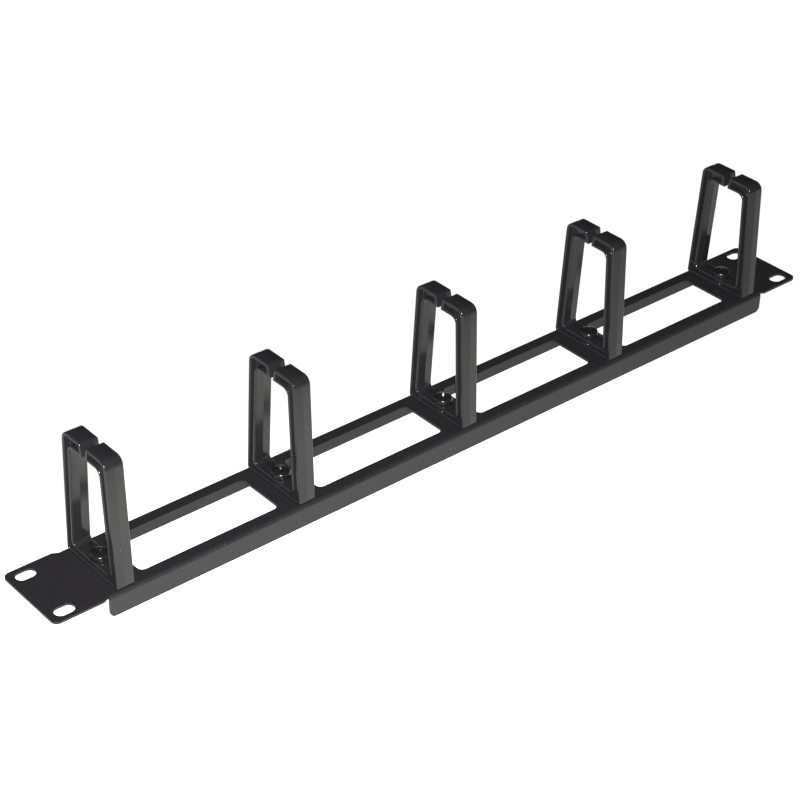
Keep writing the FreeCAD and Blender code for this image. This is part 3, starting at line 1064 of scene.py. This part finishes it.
@dataclass
class Studio:
    """Pale floor, soft lights and the camera."""

    floor_half: float = 6.0
    floor_grey: float = 0.04
    floor_blue: float = 0.96
    floor_roughness: float = 0.9
    floor_specular: float = 0.1
    floor_level: float = 1.06
    glow_colour: tuple[float, float, float] = (1.0, 0.995, 0.96)
    world_level: float = 0.03
    key_place: tuple[float, float, float] = (-0.590, -0.649, 0.582)
    key_target: tuple[float, float, float] = (0.0, 0.0, 0.02)
    key_size: float = 0.04
    key_power: float = 50.0
    fill_place: tuple[float, float, float] = (-0.9, 1.3, 1.1)
    fill_size: float = 0.9
    fill_power: float = 4.0
    # painted pool of light: glow of the floor in front of the part, not a lamp, mirrored in its
    # front faces
    pool_level: float = 2.85
    pool_left: float = -0.25
    pool_right: float = 0.21
    pool_middle: float = -0.080
    pool_half_width: float = 0.155
    azimuth: float = -40.0947
    elevation: float = 33.2973
    roll: float = 0.8598
    lens_mm: float = 94.671459
    sensor_mm: float = 36.0
    clip_near: float = 0.05
    clip_far: float = 50.0
    distance: float = 1.0983772
    aim: tuple[float, float, float] = (0.0013408, 0.0533326, -0.0209058)
    shift: float = 0.03

    def floor(self, height: float) -> None:
        """Wide pale floor under the part, glowing evenly white, with a painted pool of light in
        front of it.

        Args:
            height: level that the part stands on.
        """
        half = self.floor_half
        mesh = bpy.data.meshes.new("studio_floor")
        mesh.from_pydata([(-half, -half, height), (half, -half, height), (half, half, height),
                          (-half, half, height)], [], [(0, 1, 2, 3)])
        made, tree = blank_material("pale_floor")
        grey = self.floor_grey
        place = tree.add("TexCoord").outputs["Object"]
        # emission: even white glow plus the painted pool of light in front of the part
        glow = tree.maths("ADD", self.evened(tree, place, height), self.pool(tree, place))
        shader = tree.add("BsdfPrincipled", Roughness=self.floor_roughness,
                          Specular_IOR_Level=self.floor_specular,
                          Base_Color=(grey, grey, self.floor_blue * grey, 1.0),
                          Emission_Color=(*self.glow_colour, 1.0), Emission_Strength=glow)
        tree.add("OutputMaterial", Surface=shader.outputs["BSDF"])
        mesh.materials.append(made)
        in_scene("studio_floor", mesh)

    def evened(self, tree: NodeTree, place: bpy.types.NodeSocket,
               height: float) -> bpy.types.NodeSocket:
        """Glow that makes up for the key light's fall-off, so the floor is evenly white.

        The key light adds its power over pi, times its height, times the way to the point as
        measured along the light's own direction, over the fourth power of the distance, times
        the floor's grey over pi.

        Args:
            tree: the floor's node tree.
            place: position on the floor.
            height: level of the floor.

        Returns:
            The glow that is still missing.
        """
        key, target = Vector(self.key_place), Vector(self.key_target)
        way = tree.add("VectorMath", operation="SUBTRACT", Vector=place)
        way.inputs[1].default_value = key
        reach = tree.add("VectorMath", operation="LENGTH", Vector=way.outputs["Vector"])
        ahead = tree.add("VectorMath", operation="DOT_PRODUCT", Vector=way.outputs["Vector"])
        ahead.inputs[1].default_value = (target - key).normalized()
        strength = (self.key_power * (self.key_place[2] - height) * self.floor_grey
                    / math.pi ** 2)
        facing = tree.maths("MAXIMUM", ahead.outputs["Value"], 0.0)
        fall = tree.maths("POWER", reach.outputs["Value"], -4.0)
        lit = tree.maths("MULTIPLY", tree.maths("MULTIPLY", fall, facing), strength)
        return tree.maths("MAXIMUM", tree.maths("SUBTRACT", self.floor_level, lit), 0.0)

    def pool(self, tree: NodeTree, place: bpy.types.NodeSocket) -> bpy.types.NodeSocket:
        """Painted pool of light: a long glowing patch of floor, not a lamp, in front of the part
        and mirrored in its front faces.

        Its glow falls evenly from its left end to its right end, and from its middle line to
        both sides.

        Args:
            tree: the floor's node tree.
            place: position on the floor.

        Returns:
            The pool's glow.
        """
        split = tree.add("SeparateXYZ", Vector=place)
        aside = tree.maths("SUBTRACT", split.outputs["Y"], self.pool_middle)
        along = tree.add("MapRange", From_Min=self.pool_left, From_Max=self.pool_right,
                         To_Min=self.pool_level, To_Max=0.0, Value=split.outputs["X"])
        across = tree.add("MapRange", From_Min=0.0, From_Max=self.pool_half_width,
                          To_Min=1.0, To_Max=0.0, Value=tree.maths("ABSOLUTE", aside))
        return tree.maths("MULTIPLY", along.outputs["Result"], across.outputs["Result"])

    def light(self, name: str, place: tuple[float, float, float], size: float,
              power: float) -> None:
        """Square light that looks at the part.

        Args:
            name: name of the light.
            place: where it stands, in metres.
            size: length of its side, in metres.
            power: power in watts.
        """
        data = bpy.data.lights.new(name, "AREA")
        data.size, data.energy = size, power
        lamp = in_scene(name, data)
        lamp.location = place
        lamp.rotation_euler = (Vector(self.key_target)
                               - Vector(place)).to_track_quat("-Z", "Y").to_euler()
        lamp.visible_camera = False

    def world(self) -> None:
        """Even dim surroundings."""
        world = bpy.data.worlds.new("studio_world")
        bpy.context.scene.world = world
        world.use_nodes = True
        backdrop = world.node_tree.nodes["Background"]
        backdrop.inputs["Color"].default_value = (1.0, 1.0, 1.0, 1.0)
        backdrop.inputs["Strength"].default_value = self.world_level

    def camera(self) -> None:
        """Camera with a long lens, above and to the left of the part's front."""
        azimuth, elevation = math.radians(self.azimuth), math.radians(self.elevation)
        roll = math.radians(self.roll)
        right = Vector((math.cos(azimuth), math.sin(azimuth), 0.0))
        back = Vector((math.sin(azimuth) * math.cos(elevation),
                       -math.cos(azimuth) * math.cos(elevation), math.sin(elevation)))
        up = back.cross(right)
        turned_right = right * math.cos(roll) + up * math.sin(roll)
        turned_up = up * math.cos(roll) - right * math.sin(roll)
        data = bpy.data.cameras.new("camera")
        data.sensor_width, data.lens = self.sensor_mm, self.lens_mm
        data.shift_x = self.shift
        data.clip_start, data.clip_end = self.clip_near, self.clip_far
        camera = in_scene("camera", data)
        turn = Matrix((turned_right, turned_up, back)).transposed().to_4x4()
        camera.matrix_world = Matrix.Translation(Vector(self.aim) + back * self.distance) @ turn
        bpy.context.scene.camera = camera

    def build(self, floor_height: float) -> None:
        """Set up the whole studio.

        Args:
            floor_height: level that the part stands on.
        """
        bpy.context.scene.view_settings.view_transform = "Standard"
        self.camera()
        self.floor(floor_height)
        self.world()
        self.light("key_flash", self.key_place, self.key_size, self.key_power)
        self.light("back_fill", self.fill_place, self.fill_size, self.fill_power)


def main() -> None:
    """Build the studio, then every sub-assembly in order."""
    logging.basicConfig(level=logging.INFO, format="%(name)s %(message)s")
    Studio().build(CAD_BOX[0].z)
    RackPanel().place(POWDER_COAT.material())
    CableRing().place_all(RING_PLASTIC.material())
    PanHeadScrew().place_all(BLACK_STEEL.material())
    zinc = ZINC_STEEL.material()
    PlainWasher().place_all(zinc)
    HexNut().place_all(zinc)


if __name__ == "__main__":
    main()
